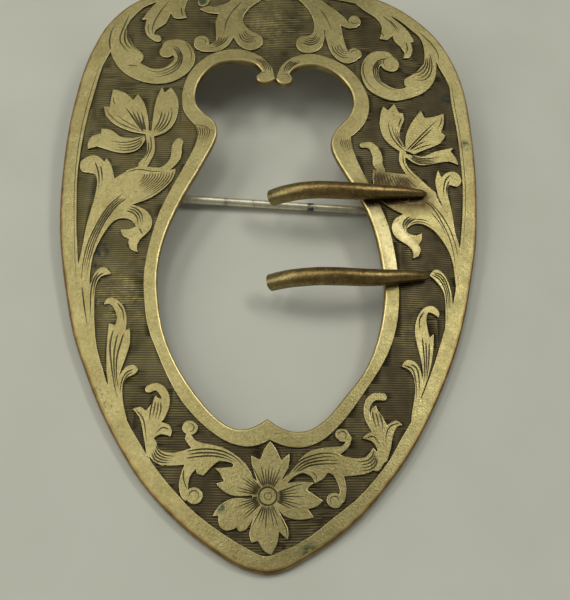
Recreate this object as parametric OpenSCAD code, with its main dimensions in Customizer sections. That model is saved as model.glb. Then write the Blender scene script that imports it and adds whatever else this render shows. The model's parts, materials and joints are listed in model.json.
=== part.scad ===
// Sash buckle of the brooch kind: a bent brass shield with raised scrolls and flowers,
// two fixed prongs on its face, and a hinged pin stem with its catch on the back.
// The plate lies in its own frame: x to the right, y to the top, z = 0 at the crest of its face.

/* [Plate] */
// Thickness of the plate, measured at the raised ornament
plate_t = 1.0; // [0.8:0.1:1.4]
// Depth of the dark ground below the ornament
relief_h = 0.3; // [0.2:0.05:0.4]
// Radius that the plate is bent to, from side to side
bend_r = 130; // [100:5:200]

/* [Prongs] */
// Thickness of the prong wire
prong_d = 2.35; // [1.9:0.05:2.6]
// Radius of the tenon that holds a prong in the plate
tenon_r = 0.45; // [0.35:0.05:0.5]
// Gap between a prong and the plate
seat_gap = 0.08; // [0.05:0.01:0.1]

/* [Pin] */
// Thickness of the pin stem
stem_d = 1.1; // [0.9:0.1:1.2]
// Height of the hinge's middle, from the crest of the face
hinge_z = -4.9; // [-5.2:0.05:-4.5]
// Place of the hinge across the plate
hinge_x = -23.5; // [-24.5:0.5:-22.5]
// Height of the hinge on the plate
hinge_y = 11.6; // [11:0.1:12.5]
// Place of the stem's point, across the plate and up it
point_x = 25.3; // [24.5:0.1:26]
point_y = 11.0; // [10.5:0.1:11.5]
// Place of the catch across the plate
catch_x = 23.6; // [22.5:0.1:24.5]
// Height of the catch on the plate, beside the stem
catch_y = 12.7; // [12.6:0.1:13.2]
// Thickness of the hinge ears
ear_t = 0.45; // [0.4:0.05:0.7]
// Radius of the hinge rivet
rivet_r = 0.42; // [0.35:0.01:0.5]

/* [Hidden] */

// Most that a short side of an outline cuts inside its smooth curve
chord_gap = 0.02;
brass = "#a8965a";
bronze = "#7d5f2a";
silver = "#b9b6ad";

barrel_r = 0.95;
barrel_w = 1.6;
ear_r = 1.15;
side_gap = 0.08;
bore_gap = 0.08;
hinge_gap = 0.05;
taper_l = 6.8;
root_r = 0.78;
root_l = 1.7;
rest_gap = 0.02;
point_r = 0.12;
hook_t = 0.45;
hook_w = 2;
hook_z = -5.2;
rivet_head_r = 0.75;
rivet_head_t = 0.3;
tenon_head_r = 0.95;
tenon_head_t = 0.4;

// Height of the face, and of the back, at a place across the plate
function face_z(x) = sqrt(bend_r * bend_r - x * x) - bend_r;
function back_z(x) = sqrt(pow(bend_r - plate_t, 2) - x * x) - bend_r;

// Rows of the plate's outline: y, left x, right x
outline_rows = [
    [-38.0, -2.5, 2.4],
    [-36.9, -4.7, 4.4],
    [-34.6, -8.2, 7.9],
    [-31.7, -11.6, 11.2],
    [-28.3, -14.8, 14.1],
    [-24.5, -17.5, 16.9],
    [-20.0, -20.2, 19.5],
    [-15.0, -22.6, 21.9],
    [-10.0, -24.7, 23.9],
    [-5.0, -26.1, 25.4],
    [0.0, -27.3, 26.5],
    [5.0, -28.2, 27.5],
    [10.0, -28.7, 28.0],
    [16.0, -28.9, 28.3],
    [22.0, -28.8, 28.2],
    [28.0, -28.2, 27.8],
    [32.0, -27.5, 27.1],
    [35.0, -26.6, 26.1],
    [38.0, -25.4, 24.5],
    [40.5, -23.6, 22.4],
    [42.5, -21.3, 19.8],
    [44.0, -18.2, 17.1],
    [45.3, -13.8, 12.9],
    [46.3, -7.6, 7.0]];
outline_tip = [0.2, -38.55];
outline_top = [-0.3, 46.6];

// The buckle rests on its tip and on the front ear of the hinge, so the top stands a little
// higher; the catch and the shoulder of the stem's point come down to the same surface
ear_front = hinge_y - barrel_w / 2 - side_gap - ear_t;
ear_foot = hinge_z - ear_r;
rest_tilt = atan((back_z(0) - ear_foot) / (ear_front - outline_tip[1]));
rest_lift = -outline_tip[1] * sin(rest_tilt) - back_z(0) * cos(rest_tilt);
rest_x = 0.3;
rest_y = -((outline_top[1] + outline_tip[1]) * cos(rest_tilt) + plate_t * sin(rest_tilt)) / 2;
hook_r = catch_y * sin(rest_tilt) + hook_z * cos(rest_tilt) + rest_lift;
hinge_rise = hinge_y * sin(rest_tilt) + hinge_z * cos(rest_tilt) + rest_lift;
shoulder = 1 - taper_l / (point_x - hinge_x);
point_rise = hinge_rise + (stem_d / 2 + rest_gap - hinge_rise) / shoulder;
point_z = (point_rise - rest_lift - point_y * sin(rest_tilt)) / cos(rest_tilt);

// Inner border of the outer rim: y, left x, right x
border_rows = [
    [-36.0, -1.7, 1.8],
    [-34.3, -4.8, 5.0],
    [-32.0, -8.1, 7.8],
    [-30.0, -10.2, 10.3],
    [-27.5, -12.5, 12.6],
    [-25.0, -14.4, 14.5],
    [-22.3, -16.2, 16.0],
    [-20.2, -17.5, 17.3],
    [-16.5, -19.7, 19.0],
    [-12.0, -21.5, 20.8],
    [-7.5, -23.5, 22.3],
    [-4.0, -24.4, 23.6],
    [0.0, -25.1, 24.4],
    [4.4, -25.8, 25.1],
    [9.0, -26.3, 25.7],
    [14.0, -26.7, 26.1],
    [20.0, -26.5, 26.0],
    [24.0, -26.1, 25.7],
    [28.0, -25.5, 25.2],
    [31.0, -25.0, 25.0],
    [34.0, -23.9, 23.6],
    [37.0, -23.0, 22.6],
    [40.0, -21.0, 19.5],
    [41.7, -19.2, 17.0],
    [43.0, -15.0, 13.0],
    [43.7, -9.5, 8.0]];
border_tip = [0.0, -36.6];
border_top = [-0.3, 44.3];

// Outline of the opening, from the bottom cusp up the right side and down the left:
// x, y, and 1 at a corner
opening_rows = [
    [-0.2, -20.7, 1], [1.0, -21.5], [2.4, -22.05], [3.8, -22.1], [5.2, -21.7], [7.2, -20.1],
    [9.2, -17.5], [11.3, -14.7], [12.8, -11.6], [13.8, -8.2], [14.45, -4.0], [14.3, 0.0],
    [13.6, 4.5], [12.4, 8.5], [10.5, 12.3], [8.9, 15.0], [7.75, 17.4], [7.6, 19.3],
    [8.5, 21.2], [9.9, 23.0], [10.7, 25.2], [10.5, 27.4], [9.4, 29.3], [7.7, 30.7],
    [5.6, 31.4], [3.6, 31.2], [2.4, 30.6], [1.7, 29.7, 1], [2.1, 29.0], [1.9, 28.2],
    [1.0, 27.7], [0.2, 28.0], [-0.3, 28.6, 1], [-0.8, 28.2], [-1.7, 27.8], [-2.8, 28.2],
    [-3.0, 29.1], [-2.3, 29.8, 1], [-3.0, 30.9], [-4.4, 31.4], [-6.3, 31.5], [-8.4, 31.0],
    [-9.9, 29.8], [-11.0, 27.9], [-11.4, 25.7], [-11.0, 23.8], [-9.7, 22.3], [-8.5, 21.2],
    [-8.05, 19.6], [-8.4, 17.8], [-9.3, 15.6], [-10.5, 12.8], [-12.0, 9.6], [-13.5, 5.6],
    [-14.4, 2.0], [-14.7, -1.5], [-14.4, -5.0], [-13.5, -9.3], [-11.9, -13.2], [-9.9, -16.5],
    [-7.6, -19.4], [-5.9, -21.0], [-4.2, -21.95], [-2.6, -22.0], [-1.2, -21.4]];

// Outer border of the rim round the opening, in the same order
inner_rim_rows = [
    [0.2, -23.3, 1], [1.5, -23.85], [3.0, -24.1], [4.6, -23.95], [6.7, -22.9], [9.2, -20.3],
    [11.8, -16.5], [13.7, -13.5], [15.2, -10.3], [16.1, -6.7], [16.4, -3.0], [16.2, 1.2],
    [15.3, 6.4], [14.0, 9.8], [12.5, 13.1], [11.2, 16.0], [10.5, 18.3], [10.3, 19.8, 1],
    [11.5, 21.1], [12.6, 23.0], [13.0, 25.2], [12.8, 27.0], [11.8, 29.3], [10.2, 31.3],
    [8.0, 32.6], [5.2, 33.35], [3.2, 33.0], [1.5, 32.1], [0.5, 30.9], [0.0, 29.6],
    [-0.3, 28.2, 1], [-0.6, 29.6], [-1.0, 30.8], [-2.4, 32.3], [-4.0, 33.15], [-6.0, 33.5],
    [-8.4, 33.1], [-10.4, 31.9], [-12.1, 29.9], [-13.0, 27.6], [-13.25, 25.2], [-12.8, 22.7],
    [-11.2, 20.6, 1], [-10.7, 19.2], [-11.0, 17.2], [-12.2, 14.1], [-13.6, 10.9], [-15.0, 7.2],
    [-15.9, 3.2], [-16.4, -1.5], [-16.1, -5.3], [-15.4, -8.9], [-14.2, -11.9], [-12.3, -15.9],
    [-10.4, -18.9], [-8.2, -21.3], [-6.2, -22.9], [-4.4, -23.85], [-2.6, -24.2], [-1.1, -23.95]];

// Ornament outlines, in rows of x, y, and 1 at a corner
hanging_leaf_left = [
    [-16.5, 44.6, 1], [-18.0, 42.2], [-19.2, 40.5], [-20.0, 39.0, 1], [-19.2, 39.1, 1],
    [-19.45, 37.6], [-18.9, 36.0], [-17.5, 34.9], [-16.8, 35.2], [-17.2, 36.0], [-17.95, 36.2, 1],
    [-17.8, 37.0], [-16.4, 38.2], [-15.8, 40.1, 1], [-15.4, 39.2], [-14.6, 38.95],
    [-13.4, 39.1, 1], [-13.8, 40.5], [-13.5, 42.3], [-12.6, 44.6, 1]];
hanging_leaf_right = [
    [11.0, 43.6, 1], [12.6, 42.2], [14.2, 41.2], [15.1, 39.9], [15.1, 38.6], [14.8, 37.35, 1],
    [15.9, 37.3], [16.8, 38.3, 1], [17.0, 37.3], [18.0, 36.3], [18.5, 35.4, 1], [18.3, 34.4, 1],
    [19.3, 34.8], [19.75, 36.2], [19.5, 37.4, 1], [20.0, 37.8, 1], [19.4, 39.2], [18.0, 40.7],
    [16.4, 42.0], [15.0, 43.6, 1]];
big_flower_left = [
    [-17.9, 19.2, 1], [-20.0, 19.7], [-22.2, 20.9], [-23.7, 22.5], [-24.1, 24.1, 1],
    [-23.3, 23.9, 1], [-23.25, 25.4], [-23.1, 26.9, 1], [-21.4, 26.3], [-20.0, 24.95, 1],
    [-19.5, 25.9, 1], [-18.4, 24.3], [-17.7, 21.9], [-17.4, 19.5, 1]];
small_petal_left = [
    [-17.1, 19.4, 1], [-17.05, 22.0], [-16.8, 25.0], [-16.1, 27.0, 1], [-15.7, 26.0, 1],
    [-14.9, 26.9, 1], [-13.9, 25.3], [-13.6, 23.3], [-14.0, 20.9], [-15.2, 19.3], [-16.8, 18.7, 1]];
low_petal_left = [
    [-18.0, 19.0, 1], [-19.5, 18.6], [-21.2, 18.9], [-22.7, 20.1], [-24.1, 20.4, 1],
    [-24.1, 19.6, 1], [-25.3, 19.2], [-25.8, 18.0], [-25.65, 17.2, 1], [-24.4, 17.5, 1],
    [-22.5, 16.7], [-20.5, 16.2], [-18.7, 16.7], [-17.8, 18.3, 1]];
horn_left = [
    [-25.4, -4.5, 1], [-25.0, 0.3, 1], [-24.8, 2.5], [-24.6, 5.4], [-24.1, 8.5], [-23.8, 11.4], [-24.2, 13.0],
    [-25.1, 13.4], [-26.3, 14.2], [-26.4, 15.3], [-25.2, 16.1], [-24.0, 15.9], [-23.15, 15.0, 1],
    [-22.9, 15.6, 1], [-22.1, 14.4], [-21.5, 12.3, 1], [-20.8, 12.8], [-20.0, 13.3, 1],
    [-18.0, 13.5], [-15.6, 13.2], [-13.3, 13.6, 1], [-13.7, 11.8], [-15.4, 9.8], [-17.2, 8.7],
    [-18.7, 8.2, 1], [-16.9, 7.35], [-15.95, 5.9], [-16.1, 4.3], [-17.3, 2.9], [-17.6, 1.9],
    [-17.4, 1.1, 1], [-18.3, 1.5], [-18.8, 2.5], [-18.7, 3.05, 1], [-19.6, 3.6], [-20.0, 4.5, 1],
    [-18.8, 4.55], [-18.0, 4.9, 1], [-18.6, 5.8], [-20.0, 6.15], [-21.2, 5.5], [-22.4, 3.3],
    [-23.2, 0.9], [-23.35, -2.0], [-23.1, -4.5, 1]];
hook_left = [
    [-24.6, -3.5, 1], [-23.2, -3.2], [-22.9, -2.0], [-22.2, -1.0], [-21.3, -1.0], [-20.6, -1.9, 1],
    [-21.9, -2.3], [-22.45, -3.9], [-22.3, -6.5], [-22.0, -9.0], [-21.4, -12.0], [-20.3, -14.9, 1],
    [-22.3, -12.5], [-23.8, -8.0]];
spray_left = [
    [-18.0, -20.4, 1], [-19.5, -17.0], [-20.1, -13.5], [-20.25, -11.0], [-20.25, -8.7, 1],
    [-19.4, -8.95, 1], [-19.3, -7.8], [-19.8, -6.6], [-20.4, -6.1], [-21.1, -6.15, 1],
    [-20.9, -5.4], [-20.0, -5.2], [-18.8, -6.1], [-18.1, -7.8], [-18.0, -9.6, 1], [-17.5, -9.5, 1],
    [-17.35, -11.5], [-17.8, -13.7], [-18.35, -15.6, 1], [-17.6, -14.5], [-16.6, -14.2],
    [-16.05, -14.9], [-16.5, -15.5], [-17.4, -16.0], [-17.75, -17.5], [-17.4, -19.4], [-16.8, -21.2, 1]];
sprout_left = [
    [-14.1, -25.6, 1], [-14.55, -23.8], [-14.9, -22.3], [-15.4, -20.8], [-16.3, -19.8, 1],
    [-15.4, -19.5], [-14.7, -20.0, 1], [-14.1, -19.2], [-13.7, -18.1, 1], [-13.3, -18.4],
    [-13.0, -18.5, 1], [-12.7, -19.4], [-12.9, -20.6, 1], [-12.7, -21.4, 1], [-11.8, -21.7],
    [-11.4, -22.5], [-11.5, -23.2, 1], [-12.6, -22.9], [-13.5, -23.5], [-13.6, -24.8], [-12.9, -25.9, 1]];
branch_left = [
    [-13.9, -25.2, 1], [-13.4, -24.1, 1], [-12.6, -24.8], [-11.0, -25.05], [-9.0, -24.5, 1],
    [-9.8, -23.4], [-9.4, -22.6], [-8.5, -23.6], [-7.0, -23.95], [-5.4, -24.3], [-4.0, -25.05],
    [-2.6, -26.2], [-1.6, -27.8, 1], [-3.0, -27.2], [-4.2, -26.2, 1], [-5.6, -26.0], [-6.7, -26.9],
    [-7.4, -27.75, 1], [-8.15, -27.5], [-8.3, -27.0, 1], [-9.0, -28.0], [-9.1, -29.4], [-9.2, -30.7],
    [-9.9, -30.0], [-10.2, -28.4], [-9.7, -26.5, 1], [-11.6, -26.65], [-13.0, -26.0]];
petal_top = [
    [-0.8, -29.5, 1], [-1.3, -27.9], [-1.85, -26.3], [-2.0, -25.2, 1], [-0.9, -25.65, 1],
    [-0.5, -24.5], [0.2, -23.4, 1], [0.9, -24.3], [1.6, -25.7, 1], [2.5, -24.8, 1],
    [2.4, -26.6], [1.3, -28.5], [0.9, -29.5, 1]];
petal_right = [
    [0.6, -29.2, 1], [1.5, -28.6], [3.4, -28.1], [5.4, -28.15, 1], [4.6, -29.0, 1], [6.5, -30.2, 1],
    [5.8, -30.9], [4.75, -31.25, 1], [5.5, -32.15, 1], [3.8, -32.5], [2.0, -32.1], [0.6, -30.6, 1]];
petal_bottom = [
    [-0.6, -30.5, 1], [-1.5, -32.5], [-1.9, -34.2], [-1.6, -35.2, 1], [-0.9, -35.0, 1],
    [-0.1, -36.1], [0.7, -36.45, 1], [1.3, -35.2], [1.5, -33.9, 1], [2.5, -34.8, 1],
    [2.5, -33.5], [1.6, -31.9], [0.8, -30.5, 1]];
petal_low_left = [
    [0.0, -30.6, 1], [-1.7, -30.25], [-3.9, -30.25], [-5.4, -31.1], [-6.15, -32.35, 1],
    [-5.5, -32.3, 1], [-5.3, -33.4], [-4.4, -33.95], [-3.3, -33.55, 1], [-3.0, -34.0],
    [-2.1, -33.6], [-1.3, -32.1], [-0.2, -30.8, 1]];
petal_high_left = [
    [0.0, -29.2, 1], [-1.6, -29.85], [-3.7, -30.0], [-5.0, -29.5], [-5.9, -28.6, 1],
    [-5.0, -28.3, 1], [-5.5, -27.4], [-6.1, -26.85, 1], [-4.05, -26.6, 1], [-4.0, -25.85, 1],
    [-2.7, -26.6], [-1.6, -27.9]];
branch_right = [
    [0.9, -28.8, 1], [2.7, -26.9], [3.9, -25.3], [5.0, -24.4], [6.8, -23.9], [8.6, -23.7],
    [9.3, -23.1], [9.8, -23.2], [9.3, -24.1], [8.5, -24.7, 1], [10.0, -25.05], [11.6, -24.8],
    [12.5, -23.65, 1], [13.2, -24.6], [12.8, -26.1], [11.3, -26.95], [9.0, -27.3, 1],
    [9.25, -28.6], [9.0, -30.2], [8.2, -30.4], [8.45, -28.9], [7.7, -27.2], [7.0, -27.0, 1],
    [6.5, -27.7], [5.5, -28.3, 1], [5.2, -27.6], [4.2, -27.1], [3.2, -27.5], [2.4, -28.2],
    [1.4, -28.9, 1]];
sprout_right = [
    [14.2, -25.2, 1], [14.7, -23.6], [15.0, -22.1], [15.5, -21.0], [16.25, -20.65, 1],
    [15.4, -20.1], [14.25, -20.8, 1], [13.8, -19.8], [13.2, -19.0], [12.95, -18.4, 1],
    [12.5, -18.8], [12.3, -19.4], [12.5, -20.8, 1], [12.6, -21.7, 1], [11.9, -21.9],
    [11.2, -22.65, 1], [12.3, -22.9], [13.0, -23.8], [13.1, -25.0], [12.6, -26.3, 1]];
spray_right = [
    [18.1, -18.6, 1], [19.0, -15.0], [19.0, -12.6], [18.5, -10.2], [18.25, -8.2], [18.6, -6.5],
    [19.5, -5.0], [20.8, -4.5], [21.7, -5.3], [21.5, -6.1, 1], [20.7, -5.6], [20.1, -5.65],
    [19.9, -7.0], [20.2, -8.95, 1], [20.75, -8.4, 1], [20.7, -10.0], [20.3, -12.4], [19.8, -14.2, 1]];
curl_right = [
    [17.2, -20.9, 1], [17.5, -18.8], [17.95, -16.5], [17.9, -14.6], [17.3, -13.6], [16.35, -13.2, 1],
    [16.9, -12.3], [18.0, -12.3], [18.8, -13.4], [19.0, -15.3], [18.7, -16.8], [18.6, -18.4, 1]];
hook_right = [
    [22.2, -9.0, 1], [22.5, -5.5], [22.5, -3.0], [21.9, -1.5], [20.6, -0.2, 1], [21.1, 0.6],
    [22.0, 0.75], [22.9, -0.2], [23.5, -2.2], [23.6, -4.3, 1], [23.2, -7.0]];
horn_right = [
    [24.6, -1.0, 1], [25.1, 4.4, 1], [24.6, 6.7], [24.3, 9.8], [23.85, 12.3], [24.0, 13.9],
    [25.3, 13.9], [26.0, 14.9], [25.6, 16.0], [24.8, 16.3], [23.8, 15.9], [23.05, 15.1, 1],
    [22.6, 16.2, 1], [22.1, 14.4], [22.3, 12.6], [22.85, 10.8, 1], [21.4, 12.2], [20.0, 13.4],
    [18.5, 14.8, 1], [16.6, 14.75], [14.8, 14.75], [13.3, 14.95, 1], [13.3, 12.6], [14.4, 10.2], [16.0, 9.0],
    [17.3, 8.5, 1], [16.2, 7.7], [15.65, 6.3], [16.2, 4.8], [17.8, 3.8], [18.5, 2.9], [18.4, 2.0, 1],
    [19.2, 2.4], [19.6, 3.5], [19.3, 4.1, 1], [19.8, 4.9], [19.85, 6.0, 1], [19.0, 5.5],
    [17.9, 5.7], [17.8, 6.4], [19.0, 7.2], [20.4, 7.15], [22.0, 6.0], [23.4, 3.8], [24.0, 1.5],
    [24.1, -1.2, 1]];
left_petal_right = [
    [17.7, 18.0, 1], [16.2, 18.9], [14.9, 20.4], [14.4, 22.5], [14.7, 24.7], [15.0, 25.5, 1],
    [15.7, 24.95, 1], [16.6, 26.2, 1], [17.3, 24.8, 1], [17.9, 24.8, 1], [18.0, 23.6],
    [17.4, 22.0], [17.3, 20.6], [18.1, 18.8, 1]];
big_petal_right = [
    [18.0, 18.6, 1], [18.1, 20.9], [19.0, 23.3], [20.5, 25.7, 1], [21.1, 24.5, 1], [22.3, 24.9],
    [24.0, 25.8, 1], [23.9, 24.0], [23.4, 22.5, 1], [24.05, 22.05, 1], [23.2, 20.6], [21.3, 19.4],
    [19.2, 18.1, 1]];
low_petal_right = [
    [18.0, 18.1, 1], [20.4, 18.0], [22.3, 19.1], [25.1, 20.25, 1], [24.7, 19.5, 1], [25.4, 18.6],
    [25.7, 17.45, 1], [24.3, 17.8], [22.4, 17.2], [20.3, 16.5], [18.8, 16.9], [17.8, 17.7, 1]];
scroll_left = [
    [-7.6, 44.0, 1], [-7.2, 42.4], [-8.2, 41.6], [-9.6, 41.1], [-10.4, 41.3, 1], [-11.6, 40.7],
    [-10.4, 40.0], [-8.8, 39.8, 1], [-9.2, 38.2], [-9.0, 36.0], [-9.0, 34.9], [-9.8, 34.3, 1],
    [-11.2, 33.2], [-9.8, 32.95], [-8.3, 33.2], [-7.1, 34.3], [-6.5, 35.7, 1], [-5.9, 34.5],
    [-4.7, 33.5], [-3.4, 33.5], [-2.4, 34.4], [-2.3, 35.5], [-2.7, 36.1], [-3.2, 36.4, 1],
    [-4.1, 36.9], [-5.1, 38.1], [-5.2, 39.4], [-4.4, 41.0], [-2.8, 42.5], [-1.0, 44.5, 1]];
scroll_right = [
    [1.0, 44.3, 1], [2.9, 42.9], [4.4, 41.0], [5.1, 38.9], [4.9, 37.1], [4.1, 36.5], [3.4, 36.4, 1],
    [2.7, 35.9], [2.5, 34.8], [3.0, 33.8], [4.0, 33.4], [5.3, 33.8], [6.3, 34.9], [6.7, 36.8, 1],
    [7.0, 35.6], [7.6, 33.8], [9.0, 32.4], [10.3, 32.3], [11.5, 33.3], [10.4, 33.7, 1],
    [9.9, 34.8], [9.4, 36.8], [9.0, 38.95, 1], [10.2, 38.55], [11.6, 39.1], [10.7, 39.7],
    [10.1, 39.8, 1], [9.6, 40.5], [8.4, 41.6], [6.2, 43.3], [6.0, 44.3, 1]];

// Scrolls and stalks, in rows of x, y and width; both ends are round
strokes = [
    [[-23.3, 37.8, 2.0], [-23.0, 34.6, 2.6], [-21.9, 31.9, 2.7], [-20.1, 30.0, 2.6],
        [-17.6, 28.85, 2.5], [-15.3, 29.1, 2.8], [-13.7, 30.5, 3.0], [-13.3, 32.2, 3.0],
        [-14.2, 33.8, 2.7], [-15.5, 34.0, 2.3]],
    [[-21.6, 40.9, 1.7], [-22.4, 39.7, 1.8], [-22.85, 38.3, 1.8], [-22.9, 37.0, 1.85],
        [-22.5, 35.6, 1.9], [-21.6, 33.6, 2.3], [-20.3, 32.2, 2.3]],
    [[21.2, 40.0, 2.0], [21.95, 38.9, 2.0], [22.4, 37.6, 2.0], [22.5, 36.3, 2.0],
        [22.4, 34.5, 1.9], [21.8, 31.9, 2.4], [20.4, 29.8, 2.4],
        [18.4, 28.2, 1.8], [16.3, 27.8, 2.3], [14.2, 28.7, 2.6], [13.3, 30.3, 2.6],
        [13.3, 32.2, 2.5], [14.2, 33.7, 2.4], [15.6, 34.0, 2.4]],
    [[21.8, 33.7, 1.2], [20.7, 31.8, 1.5], [19.3, 30.2, 2.2]],
    [[-11.0, 34.3, 2.2], [-11.05, 34.75, 2.2]],
    [[-11.2, 42.0, 1.6], [-11.0, 42.4, 1.5]],
    [[-9.2, -22.1, 1.7], [-9.4, -22.0, 1.7]],
    [[-8.4, -30.0, 1.9], [-8.3, -30.1, 1.9]],
    [[11.2, 34.1, 1.8], [11.0, 34.2, 1.8]],
    [[11.1, 40.0, 1.9], [11.1, 40.2, 1.7]],
    [[8.7, -22.3, 1.5], [8.9, -22.4, 1.7], [9.4, -22.7, 1.1]],
    [[7.8, -30.1, 1.8], [7.9, -30.2, 1.7]],
    [[-17.3, 19.2, 1.1], [-17.0, 17.6, 1.1], [-16.95, 16.2, 1.1], [-17.3, 15.2, 1.1],
        [-17.8, 14.3, 1.4]],
    [[-19.9, 13.35, 0.3], [-18.4, 13.7, 0.6], [-17.0, 13.6, 0.7], [-15.6, 13.4, 0.8],
        [-14.3, 14.0, 1.1], [-13.45, 15.4, 1.4], [-13.45, 17.0, 1.4], [-13.2, 17.8, 1.2]],
    [[17.65, 18.2, 1.0], [17.5, 17.0, 1.0], [17.85, 15.9, 1.0], [18.7, 14.8, 1.1],
        [20.3, 13.2, 1.2], [22.0, 11.6, 1.5]],
    [[11.9, 18.6, 0.8], [12.8, 18.8, 1.1], [13.6, 18.2, 1.3], [14.0, 17.0, 1.4],
        [14.0, 15.9, 1.4], [14.5, 15.0, 1.1]],
    [[-14.5, -17.3, 1.0], [-13.7, -17.0, 1.0], [-12.9, -17.5, 1.0], [-12.4, -18.5, 0.9],
        [-12.35, -19.7, 0.8], [-12.9, -20.9, 1.0]],
    [[13.9, -17.3, 1.0], [12.9, -17.3, 1.0], [12.1, -18.0, 0.9], [11.8, -19.1, 0.75],
        [12.0, -20.2, 0.85], [12.8, -21.3, 1.2]],
    [[13.4, -22.0, 1.0], [13.7, -24.0, 1.3], [12.8, -25.8, 1.4]],
    [[-13.7, -24.0, 1.2], [-13.3, -25.3, 1.3], [-12.2, -26.1, 1.1]]];

// Round ends of the scrolls and the middle of the low flower: x, y, radius
balls = [
    [-15.85, 33.15, 1.12], [16.2, 33.1, 1.4], [-25.35, 14.55, 1.15], [25.0, 15.0, 1.0],
    [0.1, -29.9, 1.8]];

// Prong rows, along the wire: x, y, height above its seat, share of the full thickness
prong_upper_rows = [
    [20.6, 11.72, 0, 0.17], [20.45, 11.7, 0, 0.28], [19.9, 11.63, 0, 0.4],
    [18.3, 11.43, 0, 0.57], [16.8, 11.25, 0, 0.68], [14.0, 10.87, 0, 0.82],
    [11.3, 10.57, 0, 0.95], [8.6, 10.42, 0, 1.0], [6.2, 10.4, -0.15, 1.0],
    [4.7, 10.4, -0.45, 1.0], [3.3, 10.4, -0.9, 1.0], [2.0, 10.4, -1.5, 0.99],
    [0.8, 10.4, -2.2, 0.98], [-0.25, 10.4, -3.05, 0.96]];
prong_lower_rows = [
    [20.4, -0.62, 0, 0.17], [20.25, -0.65, 0, 0.28], [19.6, -0.74, 0, 0.42],
    [17.7, -1.05, 0, 0.63], [16.4, -1.28, 0, 0.74], [13.7, -1.78, 0, 0.91],
    [11.1, -2.02, 0, 0.97], [8.5, -2.12, 0, 1.0], [6.0, -2.15, -0.25, 1.0],
    [4.7, -2.15, -0.6, 1.0], [3.5, -2.15, -1.0, 1.0], [2.2, -2.15, -1.5, 0.99],
    [0.9, -2.15, -2.25, 0.98], [-0.15, -2.15, -2.95, 0.96]];
tenon_x = 17.5;
upper_tenon_y = 11.33;
lower_tenon_y = -1.1;

// A point between b and c, on the smooth curve that also runs through a and d
function between(a, b, c, d, t) =
    (2 * b + (c - a) * t + (2 * a - 5 * b + 4 * c - d) * t * t + (3 * b - a - 3 * c + d) * t * t * t) / 2;

// True where a row of x, y, corner is a sharp corner
function is_corner(row) = len(row) > 2;
function flat(row) = [row[0], row[1]];

// Angle between two directions, and short sides needed for a span from b to c
function angle_of(u, v) = acos(min(1, max(-1, u * v / (norm(u) * norm(v)))));
function parts_of(a, b, c, d) =
    let (turn = (angle_of(c - a, c - b) + angle_of(c - b, d - b)) * PI / 180)
        max(1, ceil(sqrt(norm(c - b) * turn / 8 / chord_gap)));

// Points of a closed smooth outline through rows of x, y, corner
function closed_curve(rows) = [
    for (i = [0 : len(rows) - 1])
        let (count = len(rows),
            b = rows[i],
            c = rows[(i + 1) % count],
            a = is_corner(b) ? b : rows[(i + count - 1) % count],
            d = is_corner(c) ? c : rows[(i + 2) % count],
            parts = parts_of(flat(a), flat(b), flat(c), flat(d)))
            for (k = [0 : parts - 1])
                between(flat(a), flat(b), flat(c), flat(d), k / parts)];

// Rows of a smooth open curve through rows of any length
function open_curve(rows) = [
    for (i = [0 : len(rows) - 2])
        let (b = rows[i],
            c = rows[i + 1],
            a = rows[max(i - 1, 0)],
            d = rows[min(i + 2, len(rows) - 1)],
            parts = parts_of(flat(a), flat(b), flat(c), flat(d)))
            for (k = [0 : parts - 1])
                between(a, b, c, d, k / parts),
    rows[len(rows) - 1]];

// Rows of a smooth curve with two short sides to each row
function finer(rows) = [
    for (i = [0 : len(rows) - 2], t = [0, 0.5])
        between(rows[max(i - 1, 0)], rows[i], rows[i + 1], rows[min(i + 2, len(rows) - 1)], t),
    rows[len(rows) - 1]];

// Closed loop from rows of y, left x, right x, with a point at each end
function loop_of(rows, first, last) = concat(
    [first],
    [for (r = rows) [r[2], r[0]]],
    [last],
    [for (i = [len(rows) - 1 : -1 : 0]) [rows[i][1], rows[i][0]]]);

function side_of(a, b) = let (d = b - a) [-d[1], d[0]] / norm(d);

// Flat band of changing width along rows of x, y, width
module stroke(rows) {
    line = open_curve(rows);
    last = len(line) - 1;
    sides = [
        for (i = [0 : last])
            side_of(flat(line[max(i - 1, 0)]), flat(line[min(i + 1, last)])) * line[i][2] / 2];
    polygon(concat(
        [for (i = [0 : last]) flat(line[i]) + sides[i]],
        [for (i = [last : -1 : 0]) flat(line[i]) - sides[i]]));
    for (end = [line[0], line[last]])
        translate(flat(end)) circle(d = end[2], $fn = 16);
}

// Everything on the face that stands up to full height
module ornament() {
    for (rows = [hanging_leaf_left, hanging_leaf_right, big_flower_left, small_petal_left,
            low_petal_left, horn_left, hook_left, spray_left, sprout_left, branch_left,
            petal_top, petal_right, petal_bottom, petal_low_left, petal_high_left, branch_right,
            sprout_right, spray_right, curl_right, hook_right, horn_right, left_petal_right,
            big_petal_right, low_petal_right, scroll_left, scroll_right])
        polygon(closed_curve(rows));
    for (rows = strokes)
        stroke(rows);
    for (ball = balls)
        translate(flat(ball)) circle(r = ball[2], $fn = 20);
}

module outline() {
    polygon(closed_curve(loop_of(outline_rows, outline_tip, outline_top)));
}

module opening() {
    polygon(closed_curve(opening_rows));
}

// The sunk ground: what is left between the two rims and the ornament
module ground() {
    offset(delta = -0.06)
        offset(delta = 0.06)
            difference() {
                polygon(closed_curve(loop_of(border_rows, border_tip, border_top)));
                polygon(closed_curve(inner_rim_rows));
                offset(delta = -0.07)
                    offset(delta = 0.07)
                        ornament();
            }
}

// Long drum whose top is a bent sheet's surface, at a depth below the face
module drum(depth) {
    translate([0, -60, -bend_r]) rotate([-90, 0, 0]) cylinder(r = bend_r - depth, h = 130, $fn = 200);
}

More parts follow.
